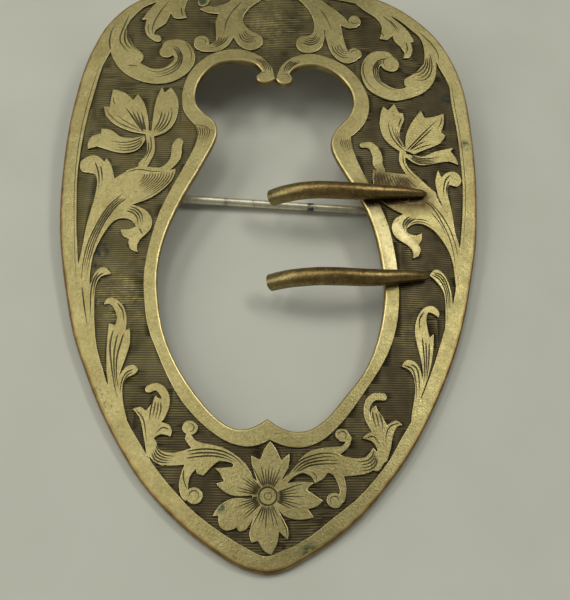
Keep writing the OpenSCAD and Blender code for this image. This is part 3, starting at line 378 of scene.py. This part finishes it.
# The graver's strokes, in fans: how many, about half the width of each, and the lines that the
# first and the last of them follow; those between share out the gap
fans = [
    (3, 0.1, [(-21.9, 40.0), (-22.35, 38.5), (-22.8, 36.7), (-22.85, 35.3), (-22.2, 34.2),
              (-21.4, 33.2)],
     [(-21.7, 37.6), (-21.9, 36.4), (-21.5, 35.2), (-20.8, 34.1), (-19.9, 33.3)]),
    (1, 0.09, [(-24.15, 33.8), (-24.4, 35.4), (-24.3, 37.0), (-23.8, 38.6)], None),
    (3, 0.09, [(-15.15, 33.9), (-14.4, 32.8), (-14.15, 31.8), (-14.5, 30.8), (-15.5, 30.0),
               (-17.0, 29.5), (-18.8, 30.0)],
     [(-15.2, 34.4), (-14.1, 33.3), (-13.65, 31.8), (-14.0, 30.3), (-15.0, 29.3), (-16.6, 28.7),
      (-18.0, 28.8)]),
    (1, 0.05, [(-13.3, 34.6), (-12.6, 33.4), (-12.3, 32.1), (-12.6, 30.6)], None),
    (1, 0.07, [(-21.3, 30.9), (-20.5, 30.75), (-19.7, 30.8)], None),
    (1, 0.09, [(-16.2, 42.3), (-17.3, 40.4), (-18.0, 38.7), (-18.3, 37.2), (-18.1, 36.3)], None),
    (1, 0.06, [(-14.3, 41.0), (-14.2, 40.0), (-13.95, 39.4)], None),
    (1, 0.07, [(-18.85, 38.2), (-18.95, 37.2), (-18.6, 36.2)], None),
    (1, 0.08, [(-5.5, 42.2), (-7.0, 40.0), (-7.7, 38.0), (-7.8, 36.7)], None),
    (4, 0.08, [(-7.2, 35.9), (-7.8, 34.7), (-8.8, 33.9), (-9.9, 33.6)],
     [(-8.5, 35.8), (-8.7, 35.0), (-9.2, 34.6), (-9.7, 34.5)]),
    (4, 0.08, [(-5.8, 36.4), (-5.2, 35.1), (-4.1, 34.8), (-3.1, 35.2)],
     [(-4.9, 37.0), (-4.6, 36.2), (-3.9, 35.8), (-2.9, 35.9)]),
    (4, 0.08, [(-3.3, 32.0), (-2.2, 31.1), (-1.6, 29.6)],
     [(-2.0, 32.0), (-1.2, 30.9), (-0.95, 29.6)]),
    (4, 0.08, [(2.0, 32.0), (1.1, 30.9), (0.85, 29.7)], [(3.2, 31.8), (2.1, 31.0), (1.4, 29.9)]),
    (7, 0.045, [(-11.3, 20.5), (-10.95, 19.4), (-11.0, 18.0)],
     [(-9.3, 20.1), (-9.1, 19.3), (-9.6, 17.6)]),
    (1, 0.04, [(-11.6, 20.6), (-10.0, 20.4), (-9.1, 19.8), (-8.4, 19.5)], None),
    (4, 0.11, [(-18.1, 19.4), (-19.2, 21.0), (-20.2, 22.5), (-21.0, 23.7)],
     [(-17.85, 19.7), (-18.2, 20.8), (-18.45, 21.9), (-18.8, 23.0)]),
    (2, 0.06, [(-18.4, 19.5), (-20.2, 20.3), (-21.8, 21.2), (-23.0, 22.4), (-23.7, 23.5)],
     [(-18.5, 19.8), (-20.0, 20.8), (-21.4, 21.8), (-22.5, 23.0)]),
    (1, 0.05, [(-22.9, 25.6), (-22.8, 24.8), (-22.4, 24.2)], None),
    (4, 0.09, [(-16.8, 19.5), (-16.2, 20.9), (-15.9, 22.1), (-15.9, 23.0)],
     [(-16.3, 19.2), (-15.1, 20.3), (-14.5, 21.9), (-14.5, 23.2)]),
    (4, 0.08, [(-18.1, 18.8), (-19.1, 18.2), (-20.6, 17.9), (-22.6, 18.2)],
     [(-18.1, 18.1), (-18.8, 17.0), (-20.3, 16.6), (-22.2, 16.95)]),
    (2, 0.07, [(-17.2, 18.9), (-16.9, 17.3), (-17.1, 16.0), (-17.6, 14.7)],
     [(-17.5, 18.2), (-17.25, 17.0), (-17.45, 15.8), (-17.9, 14.9)]),
    (11, 0.06, [(-13.65, 13.2), (-13.9, 12.1), (-14.7, 10.95), (-16.0, 9.8), (-17.4, 8.9)],
     [(-17.5, 12.9), (-17.5, 12.4), (-17.8, 11.9), (-18.3, 11.4)]),
    (1, 0.06, [(-19.9, 13.1), (-18.4, 13.55), (-16.3, 13.15), (-15.0, 13.2)], None),
    (2, 0.08, [(-24.4, 15.0), (-24.1, 14.2), (-23.75, 13.2), (-23.55, 12.0), (-23.5, 10.6)],
     [(-23.7, 14.6), (-23.4, 13.6), (-23.2, 12.6), (-23.1, 11.4)]),
    (4, 0.09, [(-20.1, 9.9), (-21.9, 8.0), (-23.1, 5.6), (-24.0, 3.0), (-24.4, 0.2),
               (-24.4, -3.0)],
     [(-19.3, 9.4), (-20.9, 7.9), (-22.2, 5.6), (-23.1, 3.0), (-23.6, 0.2), (-23.8, -2.5)]),
    (3, 0.09, [(-19.5, 7.3), (-18.5, 6.9), (-17.9, 6.1), (-17.7, 5.0)],
     [(-19.2, 7.9), (-18.1, 7.5), (-17.3, 6.5), (-17.2, 5.2)]),
    (1, 0.08, [(-17.5, 4.6), (-17.0, 3.7)], None),
    (2, 0.09, [(-22.3, -1.6), (-22.8, -2.8), (-22.95, -4.6), (-22.7, -7.5)],
     [(-21.4, -1.6), (-22.3, -2.3), (-22.6, -3.6), (-22.5, -5.6)]),
    (1, 0.08, [(-24.2, -3.5), (-23.75, -5.7), (-23.0, -8.7)], None),
    (3, 0.09, [(-19.6, -9.6), (-19.8, -11.6), (-19.5, -13.6), (-19.0, -15.9), (-18.3, -18.4)],
     [(-18.2, -9.9), (-18.5, -11.4), (-18.8, -13.4), (-18.6, -15.7), (-18.0, -18.0)]),
    (1, 0.08, [(-19.4, -6.0), (-18.65, -7.0), (-18.4, -8.4)], None),
    (2, 0.07, [(-16.6, -14.8), (-17.4, -15.2), (-17.9, -16.2), (-18.0, -17.8)],
     [(-16.6, -15.1), (-17.3, -15.6), (-17.7, -16.6), (-17.75, -18.0)]),
    (4, 0.07, [(-13.9, -18.6), (-14.1, -19.8), (-14.2, -21.2)],
     [(-13.0, -18.9), (-12.9, -20.0), (-13.2, -21.2)]),
    (1, 0.06, [(-15.9, -19.9), (-15.0, -20.9), (-14.6, -22.2), (-14.3, -23.8)], None),
    (1, 0.06, [(-11.7, -22.3), (-12.6, -22.1), (-13.4, -22.9)], None),
    (4, 0.08, [(-13.2, -24.1), (-12.8, -24.9), (-12.0, -25.4), (-10.8, -25.5)],
     [(-13.6, -25.0), (-13.2, -25.9), (-12.3, -26.25), (-11.2, -26.3)]),
    (3, 0.08, [(-9.6, -24.9), (-7.6, -24.6), (-5.6, -24.75), (-4.0, -25.4), (-2.8, -26.5)],
     [(-9.8, -25.8), (-8.2, -25.5), (-6.4, -25.4), (-4.8, -25.7), (-3.4, -26.4)]),
    (1, 0.07, [(-9.7, -26.9), (-9.7, -28.1), (-9.2, -29.3)], None),
    (1, 0.06, [(1.55, -32.1), (2.2, -33.3), (2.4, -34.3)], None),
    (4, 0.08, [(2.2, -27.6), (3.5, -25.9), (5.2, -25.0), (7.0, -24.6), (8.6, -24.9)],
     [(3.3, -27.1), (4.9, -26.2), (6.8, -25.9), (8.8, -25.8)]),
    (4, 0.08, [(12.6, -23.9), (12.4, -24.7), (11.7, -25.3), (10.4, -25.5)],
     [(13.0, -24.7), (12.8, -25.7), (12.0, -26.35), (10.6, -26.6)]),
    (1, 0.08, [(7.5, -27.2), (8.0, -28.1), (8.15, -29.2)], None),
    (1, 0.06, [(5.2, -26.9), (5.7, -27.4), (5.7, -27.9)], None),
    (3, 0.08, [(12.5, -19.1), (12.65, -20.2), (13.0, -21.3)],
     [(13.3, -19.3), (13.65, -20.3), (13.75, -21.8)]),
    (1, 0.06, [(15.9, -20.4), (14.7, -20.9), (14.15, -22.0), (14.1, -23.6)], None),
    (1, 0.06, [(11.6, -22.6), (12.6, -22.3), (13.5, -23.5)], None),
    (3, 0.1, [(18.3, 8.3), (17.5, 7.5), (17.25, 6.7), (17.5, 6.0)],
     [(19.2, 8.1), (18.3, 7.5), (17.75, 6.8), (17.7, 6.1)]),
    (2, 0.06, [(18.2, 7.1), (19.3, 7.55), (20.4, 7.5), (21.5, 7.0)],
     [(18.9, 7.9), (20.0, 7.95), (21.0, 7.8)]),
    (2, 0.08, [(20.4, 10.9), (21.6, 9.9), (22.7, 8.0), (23.6, 5.9), (24.1, 3.6), (24.3, 1.2)],
     [(20.8, 11.0), (22.1, 9.85), (23.4, 7.9), (24.2, 5.85), (24.65, 3.6), (24.75, 1.8)]),
    (1, 0.05, [(21.2, 9.35), (22.0, 8.4), (22.8, 7.1), (23.3, 5.8)], None),
    (1, 0.09, [(22.08, 12.8), (22.3, 11.9), (22.6, 11.2), (23.0, 10.3)], None),
    (2, 0.08, [(24.5, 15.7), (23.8, 15.0), (23.4, 14.0), (23.25, 13.0), (23.3, 12.1)],
     [(24.3, 14.9), (23.9, 14.0), (23.65, 13.0), (23.7, 11.8)]),
    (3, 0.09, [(20.8, -0.1), (21.8, -0.55), (22.5, -1.7), (22.75, -3.3), (22.7, -6.2)],
     [(20.9, 0.3), (22.2, 0.0), (22.95, -1.3), (23.2, -3.2), (23.0, -5.5)]),
    (3, 0.09, [(19.2, -9.0), (19.3, -10.8), (19.35, -12.8), (19.1, -15.4)],
     [(20.1, -9.4), (20.0, -11.2), (19.8, -13.0), (19.4, -15.4)]),
    (1, 0.09, [(19.6, -5.5), (18.95, -6.6), (18.9, -8.2)], None),
    (2, 0.09, [(16.6, -13.0), (17.7, -13.4), (18.1, -14.8), (18.1, -17.2)],
     [(17.3, -12.7), (18.3, -13.3), (18.55, -15.0), (18.4, -17.0)]),
    (4, 0.08, [(22.3, 36.0), (22.6, 34.2), (22.3, 32.4), (21.3, 31.1), (19.8, 30.8)],
     [(21.8, 35.2), (21.6, 34.0), (21.1, 33.0), (20.3, 32.2), (19.4, 31.7)]),
    (3, 0.09, [(15.7, 34.0), (14.5, 33.3), (13.85, 32.2), (13.75, 31.0), (14.2, 29.8),
               (15.4, 28.9), (16.9, 28.5)],
     [(15.2, 33.2), (14.5, 32.5), (14.3, 31.2), (14.6, 30.0), (15.6, 29.2)]),
    (1, 0.06, [(12.5, 32.9), (12.2, 31.8), (12.35, 30.4), (13.0, 29.0), (14.1, 27.9)], None),
    (1, 0.09, [(20.8, 39.7), (22.3, 38.3), (23.2, 37.2), (23.65, 36.0), (23.6, 35.0)], None),
    (2, 0.08, [(15.3, 41.7), (16.7, 40.4), (17.8, 38.7)],
     [(16.2, 41.3), (17.3, 40.0), (18.1, 38.9)]),
    (1, 0.08, [(18.75, 37.4), (18.95, 36.3), (18.7, 35.2)], None),
    (1, 0.05, [(14.9, 38.9), (15.3, 38.2), (15.4, 37.7)], None),
    (1, 0.08, [(5.9, 41.7), (7.0, 39.8), (7.7, 37.9)], None),
    (1, 0.08, [(6.6, 37.9), (6.7, 36.7)], None),
    (4, 0.08, [(7.6, 35.4), (8.1, 34.0), (9.2, 33.2), (10.3, 33.3)],
     [(8.7, 35.6), (9.1, 34.8), (9.5, 34.3), (10.0, 34.2)]),
    (4, 0.08, [(3.2, 35.3), (4.4, 34.9), (5.5, 35.4), (6.1, 36.8)],
     [(4.1, 36.3), (4.7, 36.0), (5.2, 36.4), (5.5, 37.2)]),
    (2, 0.09, [(18.0, 18.4), (17.0, 19.3), (16.2, 20.4), (15.75, 21.9), (15.65, 23.3)],
     [(18.05, 18.7), (17.3, 19.6), (16.75, 20.5), (16.25, 21.8), (16.15, 23.2)]),
    (2, 0.06, [(18.0, 19.3), (17.4, 20.2), (17.0, 21.2), (16.95, 22.0)],
     [(17.7, 19.1), (17.1, 20.2), (16.7, 21.4), (16.6, 22.6)]),
    (1, 0.06, [(17.6, 23.9), (17.3, 23.0), (17.1, 22.2)], None),
    (2, 0.08, [(18.2, 18.6), (19.2, 19.9), (20.3, 21.3), (21.6, 22.9), (22.7, 24.2)],
     [(18.45, 18.6), (19.6, 19.9), (20.7, 21.2), (21.8, 22.5), (22.6, 23.5)]),
    (2, 0.07, [(18.6, 18.7), (19.9, 19.8), (21.2, 20.7)],
     [(18.8, 18.6), (20.2, 19.4), (21.4, 20.0), (22.3, 20.3)]),
    (1, 0.06, [(23.7, 25.1), (23.4, 24.0), (22.9, 23.1)], None),
    (4, 0.08, [(18.6, 18.1), (19.9, 17.6), (21.5, 17.8), (23.2, 18.4)],
     [(18.5, 17.6), (19.6, 16.9), (21.2, 16.95), (23.0, 17.6)]),
    (2, 0.07, [(17.6, 17.9), (17.7, 16.5), (18.4, 15.2), (19.7, 13.9)],
     [(17.95, 17.6), (18.1, 16.5), (18.8, 15.4), (20.2, 14.0)]),
    (12, 0.06, [(13.6, 14.7), (13.65, 13.6), (13.8, 12.6), (14.4, 11.2)],
     [(17.8, 14.4), (18.6, 13.5), (19.6, 12.7)]),
    (7, 0.045, [(9.0, 19.3), (8.9, 18.4), (9.6, 17.0)], [(10.7, 19.8), (10.6, 18.4), (11.0, 17.0)]),
    (1, 0.04, [(-25.4, 31.5), (-26.0, 28.2), (-26.6, 24.0), (-26.95, 20.0), (-27.05, 15.0),
               (-26.7, 9.5), (-26.1, 4.4), (-25.5, 0.0), (-24.8, -4.0)], None),
    (1, 0.04, [(25.5, 31.2), (25.65, 28.0), (26.1, 24.0), (26.4, 20.0), (26.5, 14.0), (26.1, 9.0),
               (25.5, 4.4)], None),
    (1, 0.04, [(-13.5, 24.0), (-13.1, 22.3), (-12.0, 20.9)], None)]

# The low flower's strokes spread from its middle: first and last angle, how many, and their reach
flower = (0.1, -29.9)
flower_eye, flower_pupil = 1.04, 0.42
rays = ((60, 119, 9, 4.0), (-27, 22, 8, 4.4), (-62, -116, 8, 4.0), (134, 172, 7, 3.8),
        (188, 226, 7, 3.9))
ray_width = 0.075
# Curls on the round ends of the scrolls: x, y, radius, first and last angle
curls = ((-8.4, -30.05, 0.62, 200, -70), (7.85, -30.15, 0.55, -20, 230),
         (-9.3, -22.05, 0.5, -100, 120), (8.8, -22.35, 0.5, -60, 190),
         (11.05, 40.0, 0.5, 180, 330), (-11.1, 34.6, 0.7, -20, 120),
         (11.05, 34.1, 0.55, 180, 20), (16.1, 33.2, 0.9, 90, 250),
         (-2.0, 28.9, 0.7, 60, 200), (1.0, 28.8, 0.7, 120, -20))
curl_width = 0.05
curl_pass, eye_pass, pupil_pass = 11, 10, 12
graver_height = 0.004
graver_flatness = 0.7
ring_points = 32


def about(middle, radius, angle):
    return (middle[0] + radius * math.cos(angle), middle[1] + radius * math.sin(angle))


def along(line, t):
    """A point of the smooth line through some points, at a share of its length."""
    spot = t * (len(line) - 1)
    k = min(int(spot), len(line) - 2)
    f = spot - k
    b, c = Vector(line[k]), Vector(line[k + 1])
    a = Vector(line[k - 1]) if k else 2 * b - c
    d = Vector(line[k + 2]) if k + 2 < len(line) else 2 * c - b
    return (2 * b + (c - a) * f + (2 * a - 5 * b + 4 * c - d) * f**2
            + (3 * b - a - 3 * c + d) * f**3) / 2


def swept(name, runs, sides):
    """Round or four-sided bars along runs of points and radii, as one mesh."""
    curve = bpy.data.curves.new(name, "CURVE")
    curve.dimensions = "3D"
    curve.twist_mode = "Z_UP"
    curve.bevel_depth = 1
    curve.bevel_resolution = sides // 4
    curve.use_fill_caps = True
    for points, radii, closed in runs:
        spline = curve.splines.new("POLY")
        spline.points.add(len(points) - 1)
        spline.use_cyclic_u = closed
        for at, p, r in zip(spline.points, points, radii):
            at.co = (*p, 1)
            at.radius = r
    bar = bpy.data.objects.new(name, curve)
    bpy.context.scene.collection.objects.link(bar)
    only(bar)
    bpy.ops.object.convert(target="MESH")
    bar = bpy.context.object
    bpy.ops.object.mode_set(mode="EDIT")
    bpy.ops.mesh.select_all(action="SELECT")
    bpy.ops.mesh.remove_doubles(threshold=1e-5)
    bpy.ops.mesh.normals_make_consistent(inside=False)
    bpy.ops.object.mode_set(mode="OBJECT")
    return bar


def apply_boolean(piece, operation, other, material_mode="INDEX"):
    """Cuts another object from a piece, or joins it on, and removes it."""
    only(piece)
    step = piece.modifiers.new("step", "BOOLEAN")
    step.operation = operation
    step.solver = "MANIFOLD"
    step.material_mode = material_mode
    step.object = other
    bpy.ops.object.modifier_apply(modifier="step")
    bpy.data.objects.remove(other)


# Neighbouring strokes go to different passes, so that the bars of one pass don't cross
passes = {}


def engrave(k, first, last, share, width, swell=0.65, start=0.0, end=1.0):
    """Adds a stroke between two lines to a pass; it swells and runs out fine."""
    length = sum((Vector(b) - Vector(a)).length for a, b in zip(first, first[1:]))
    steps = max(6, min(20, int(length * 2.2)))
    points, radii = [], []
    for n in range(steps + 1):
        u = n / steps
        t = start + (end - start) * u
        spot = along(first, t).lerp(along(last, t), share)
        points.append((spot.x, spot.y, graver_height))
        radii.append(0.015 + 1.2 * width * math.sin(math.pi * u**swell) ** 0.7)
    passes.setdefault(k, []).append((points, radii, False))


for count, width, first, last in fans:
    for k in range(count):
        share = k / (count - 1) if count > 1 else 0
        engrave(k, first, last or first, share, width,
                start=0.02 * (k * 7 % 4), end=1 - 0.04 * (k * 3 % 4))
for first, last, count, reach in rays:
    for k in range(count):
        angle = math.radians(first + (last - first) * k / (count - 1))
        spread = reach * (0.62 + 0.38 * math.sin(math.pi * (k * 5 % count + 0.5) / count))
        ray = [about(flower, 1.12, angle), about(flower, spread, angle)]
        engrave(k % 3 + 2, ray, ray, 0, ray_width, swell=0.35)
for x, y, radius, first, last in curls:
    arc = [about((x, y), radius, math.radians(first + (last - first) * n / 4)) for n in range(5)]
    engrave(curl_pass, arc, arc, 0, curl_width)
for k, radius, width in ((eye_pass, flower_eye, 0.11), (pupil_pass, flower_pupil, 0.045)):
    ring = [(*about(flower, radius, 2 * math.pi * n / ring_points), graver_height)
            for n in range(ring_points)]
    passes.setdefault(k, []).append((ring, [width] * ring_points, True))
for k, strokes in sorted(passes.items()):
    graver = swept("graver", strokes, 0)
    for v in graver.data.vertices:
        v.co.z *= graver_flatness
    graver.data.materials.clear()
    graver.data.materials.append(finishes[STROKE])
    apply_boolean(plate, "DIFFERENCE", graver, "TRANSFER")


# The fine lines that the ground was ruled with, cut between every ridge and hollow
def line_at(spot):
    return (spot.y - line_rise * max(spot.x, 0)) / line_pitch


def is_ground(face):
    return face.material_index == GROUND and face.normal.z > 0.9


def rule(bm, faces, low, high, rise):
    """Splits faces at each half pitch from low to high, halving the range each time."""
    if high < low or not faces:
        return
    middle = (low + high) // 2
    near = dict.fromkeys(faces)
    for f in faces:
        near.update(dict.fromkeys([*f.edges, *f.verts]))
    cut = bmesh.ops.bisect_plane(bm, geom=list(near), plane_co=(0, middle * line_pitch / 2, 0),
                                 plane_no=(-rise, 1, 0), dist=1e-4)
    faces = [g for g in cut["geom"] if isinstance(g, bmesh.types.BMFace)]
    sides = ([], [])
    for f in faces:
        spot = f.calc_center_median()
        sides[(spot.y - rise * spot.x) / line_pitch * 2 > middle].append(f)
    rule(bm, sides[0], low, middle - 1, rise)
    rule(bm, sides[1], middle + 1, high, rise)


first_half_pitch, last_half_pitch = -245, 290
bm = bmesh.new()
bm.from_mesh(plate.data)
for on_right, rise in ((False, 0), (True, line_rise)):
    sunk = [f for f in bm.faces if is_ground(f) and (f.calc_center_median().x > 0) == on_right]
    rule(bm, sunk, first_half_pitch, last_half_pitch, rise)
for v in {v for f in bm.faces if is_ground(f) for v in f.verts}:
    if abs(v.co.z + relief) < 0.01:
        line = line_at(v.co)
        crest = 1 - 2 * abs(line - round(line))
        v.co.z += line_height * (2 * crest - 1) * (0.55 + 0.45 * noise.noise(v.co * 0.45))
bm.to_mesh(plate.data)
bm.free()

# The shading is worked out flat; then the plate is bent back to its curve, and the shading with it
only(plate)
bpy.ops.object.shade_smooth_by_angle(angle=math.radians(30))
normals = [c.vector.copy() for c in plate.data.corner_normals]
for f in plate.data.polygons:
    is_level = abs(f.normal.z) > (0.98 if f.material_index != GROUND else 0.9995)
    if is_level or f.material_index == STROKE:
        normal = Vector((0, 0, math.copysign(1, f.normal.z))) if is_level else f.normal.copy()
        for k in f.loop_indices:
            normals[k] = normal
spots = [plate.data.vertices[l.vertex_index].co.copy() for l in plate.data.loops]
sheet = plate.data.uv_layers.new(name="flat")
for corner, spot in zip(sheet.data, spots):
    corner.uv = (spot.x, spot.y)
for v in plate.data.vertices:
    v.co.z += level(v.co.x)
plate.data.transform(Matrix.Scale(0.001, 4) @ lay)
bent = []
for n, spot in zip(normals, spots):
    slope = -spot.x / math.sqrt(bend_radius * bend_radius - spot.x * spot.x)
    bent.append((turned.to_3x3() @ Vector((n.x - slope * n.z, n.y, n.z))).normalized())
plate.data.normals_split_custom_set(bent)
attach(plate, "plate")
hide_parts("frame")

# The two prongs
# Bronze wire, filed to a taper at one end and bent down into the opening at the other; a tenon
# goes through the plate and is hammered to a head on its back.
wire = 2.35
seat = 0.08
stops_along = 60
wire_sides = 28
cut_end_round, point_round = 0.22, 0.1
tenon_x = 17.5
tenon_radius, tenon_length = 0.45, 2.5
head_radius, head_height, head_dome = 0.95, 0.4, 0.3
# Name, place of the tenon up the plate, and rows of x, y, height over the seat and thickness as
# a share of the wire's
prongs = (
    ("prong_upper", 11.33, [
        (20.5, 11.71, 0, 0.2), (20.35, 11.69, 0, 0.32), (19.8, 11.62, 0, 0.44),
        (18.3, 11.43, 0, 0.58), (16.8, 11.25, 0, 0.68), (14.0, 10.87, 0, 0.82),
        (11.3, 10.57, 0, 0.95), (8.6, 10.42, 0, 1.0), (6.2, 10.4, -0.15, 1.0),
        (4.7, 10.4, -0.45, 1.0), (3.3, 10.4, -0.9, 1.0), (2.0, 10.4, -1.5, 0.99),
        (0.8, 10.4, -2.2, 0.98), (-0.25, 10.4, -3.05, 0.96)]),
    ("prong_lower", -1.1, [
        (20.3, -0.63, 0, 0.2), (20.15, -0.66, 0, 0.32), (19.5, -0.75, 0, 0.46),
        (17.7, -1.05, 0, 0.64), (16.4, -1.28, 0, 0.74), (13.7, -1.78, 0, 0.91),
        (11.1, -2.02, 0, 0.97), (8.5, -2.12, 0, 1.0), (6.0, -2.15, -0.25, 1.0),
        (4.7, -2.15, -0.6, 1.0), (3.5, -2.15, -1.0, 1.0), (2.2, -2.15, -1.5, 0.99),
        (0.9, -2.15, -2.25, 0.98), (-0.15, -2.15, -2.95, 0.96)]))

bronze, tree, shader, place = finish_of("worn_bronze", (0.24, 0.16, 0.055), 0.85, 0.35)
parts = node_of(tree, "SeparateXYZ", {"Vector": place})
cut_end = node_of(tree, "MapRange", {"Value": parts.outputs["X"], "From Min": 0.005,
                                     "From Max": -0.0005}).outputs[0]
tone = blend_of(tree, spots_of(tree, place, 700, 0.35, 0.65),
                (0.17, 0.11, 0.034), (0.27, 0.19, 0.066))
tone = blend_of(tree, cut_end, tone, (0.29, 0.24, 0.1))
tone = blend_of(tree, spots_of(tree, place, 2600, 0.5, 0.68, 0.6), tone, (0.1, 0.065, 0.024))
tone = blend_of(tree, spots_of(tree, place, 2100, 0.58, 0.72, 0.6), tone, (0.42, 0.33, 0.15))
coat(tree, shader, place, tone, 3000.0, 0.9, 0.00004)


def is_cap(edge):
    return any(len(f.verts) > 12 for f in edge.link_faces)


for name, tenon_y, rows in prongs:
    line = [(x, y, rise + wire / 2 * share + seat + level(x), wire / 2 * share)
            for x, y, rise, share in rows]
    stops = [along(line, n / stops_along) for n in range(stops_along + 1)]
    prong = swept("smooth_" + name, [([s.xyz for s in stops], [s.w for s in stops], False)],
                  wire_sides)
    only(prong)
    bpy.ops.object.mode_set(mode="EDIT")
    bpy.ops.mesh.select_all(action="DESELECT")
    pick_edges(prong, lambda e: is_cap(e) and e.verts[0].co.x < 3)
    bpy.ops.mesh.bevel(offset=cut_end_round, segments=4, profile=0.5, affect="EDGES")
    pick_edges(prong, lambda e: is_cap(e) and e.verts[0].co.x > 19)
    bpy.ops.mesh.bevel(offset=point_round, segments=3, profile=0.5, affect="EDGES")
    bpy.ops.object.mode_set(mode="OBJECT")
    head_low = level(tenon_x + head_radius) - thickness - seat - head_height
    for radius, low, high, dome in (
            (tenon_radius, head_low + head_height / 2, head_low + tenon_length, 0),
            (head_radius, head_low, head_low + head_height, head_dome)):
        bpy.ops.mesh.primitive_cylinder_add(vertices=32, radius=radius, depth=high - low,
                                            location=(tenon_x, tenon_y, (low + high) / 2))
        part = bpy.context.object
        if dome:
            bpy.ops.object.mode_set(mode="EDIT")
            pick_edges(part, lambda e: e.verts[0].co.z < -0.1 and e.verts[1].co.z < -0.1)
            bpy.ops.mesh.bevel(offset=dome, segments=4, profile=0.5, affect="EDGES")
            bpy.ops.object.mode_set(mode="OBJECT")
        bpy.ops.object.transform_apply(location=True)
        apply_boolean(prong, "UNION", part)
    prong.data.transform(Matrix.Scale(0.001, 4) @ lay)
    prong.data.materials.clear()
    prong.data.materials.append(bronze)
    only(prong)
    bpy.ops.object.shade_smooth_by_angle(angle=math.radians(35))
    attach(prong, "plate")
    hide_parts(name)

# The pin and its hinge
# A stem of drawn white-metal wire, pointed at one end and coiled to an eye at the other, with
# two rings of verdigris, and the rivet that it turns on, headed by hand.
silver, tree, shader, place = finish_of("drawn_wire", (0.72, 0.66, 0.52), 0.9, 0.42)
parts = node_of(tree, "SeparateXYZ", {"Vector": place})
tone = blend_of(tree, spots_of(tree, place, 500, 0.35, 0.65),
                (0.62, 0.58, 0.41), (0.86, 0.81, 0.62))
tone = blend_of(tree, spots_of(tree, place, 1500, 0.6, 0.7, 0.6), tone, (0.2, 0.15, 0.08))
for x, reach, most in ((0.0055, 0.0006, 0.95), (-0.0062, 0.0004, 0.4)):
    gap = node_of(tree, "Math", {0: parts.outputs["X"], 1: x}, operation="SUBTRACT").outputs[0]
    gap = node_of(tree, "Math", {0: gap}, operation="ABSOLUTE").outputs[0]
    near = node_of(tree, "MapRange", {"Value": gap, "From Min": reach,
                                      "From Max": reach / 2}).outputs[0]
    ring = times(tree, near, spots_of(tree, place, 1800, 0.3, 0.5, most))
    tone = blend_of(tree, ring, tone, (0.035, 0.07, 0.05))
coat(tree, shader, place, tone, 3500.0, 0.3, 0.00002)
for name in ("pin_stem", "hinge_rivet"):
    frame["nodes"][name].material_slots[0].material = silver
